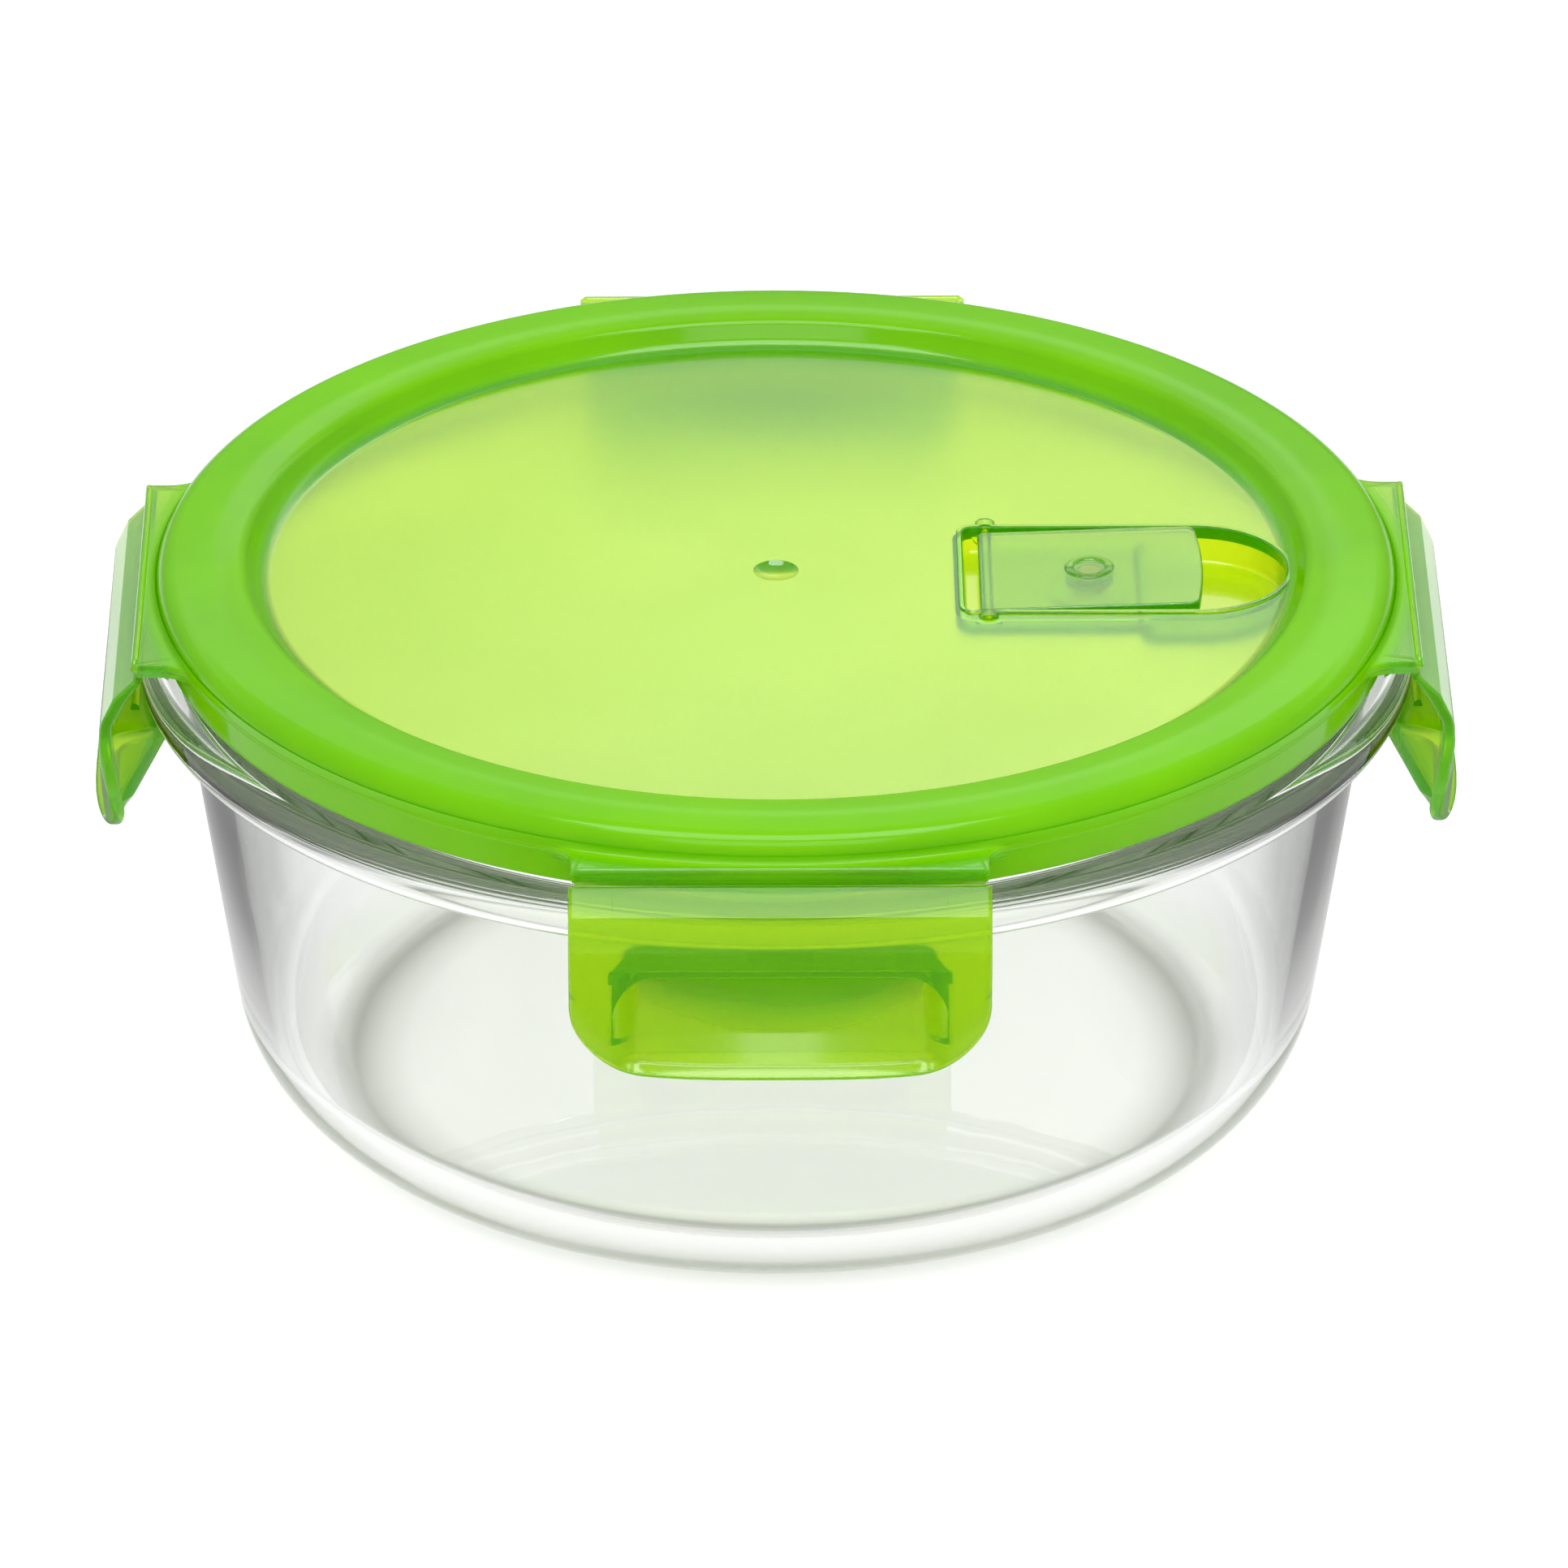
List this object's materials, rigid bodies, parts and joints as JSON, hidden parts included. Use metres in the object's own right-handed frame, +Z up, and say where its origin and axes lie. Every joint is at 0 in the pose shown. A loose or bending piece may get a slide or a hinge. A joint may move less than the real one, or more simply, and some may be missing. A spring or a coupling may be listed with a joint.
{
  "type": "snap lid food container",
  "caption": "Round glass food dish with a press-on translucent plastic lid, hinged edge latches, a silicone seal and a flip-up steam vent.",
  "frame": {"origin": "centre of the dish's flat foot", "axes": "+Z up; the front latch faces -Y; the steam vent is on the +X side of the lid"},
  "size_m": [0.187, 0.187, 0.0783],
  "materials": {
    "clear_glass": "polished, clear",
    "green_plastic": "glossy, translucent",
    "silicone": "satin, translucent"
  },
  "bodies": {
    "bowl": {"glass_bowl": "clear_glass"},
    "lid": {"lid_shell": "green_plastic", "lid_gasket": "silicone", "film_hinge_front": "green_plastic", "film_hinge_right": "green_plastic", "film_hinge_back": "green_plastic", "film_hinge_left": "green_plastic"},
    "latch_front": {"latch_front": "green_plastic"},
    "latch_right": {"latch_right": "green_plastic"},
    "latch_back": {"latch_back": "green_plastic"},
    "latch_left": {"latch_left": "green_plastic"},
    "vent": {"vent_flap": "green_plastic", "vent_plug": "silicone"}
  },
  "joints": [
    {"name": "lid_lift", "type": "slide", "parent": "bowl", "child": "lid", "axis": [0, 0, 1], "range_m": [0, 0.1]},
    {"name": "latch_front_hinge", "type": "hinge", "parent": "lid", "child": "latch_front", "pos_m": [0, -0.0865, 0.0716], "axis": [-1, 0, 0], "range_deg": [0, 100]},
    {"name": "latch_right_hinge", "type": "hinge", "parent": "lid", "child": "latch_right", "pos_m": [0.0865, 0, 0.0716], "axis": [0, -1, 0], "range_deg": [0, 100]},
    {"name": "latch_back_hinge", "type": "hinge", "parent": "lid", "child": "latch_back", "pos_m": [0, 0.0865, 0.0716], "axis": [1, 0, 0], "range_deg": [0, 100]},
    {"name": "latch_left_hinge", "type": "hinge", "parent": "lid", "child": "latch_left", "pos_m": [-0.0865, 0, 0.0716], "axis": [0, 1, 0], "range_deg": [0, 100]},
    {"name": "vent_hinge", "type": "hinge", "parent": "lid", "child": "vent", "pos_m": [0.0288, 0, 0.0734], "axis": [0, -1, 0], "range_deg": [0, 120]}
  ]
}
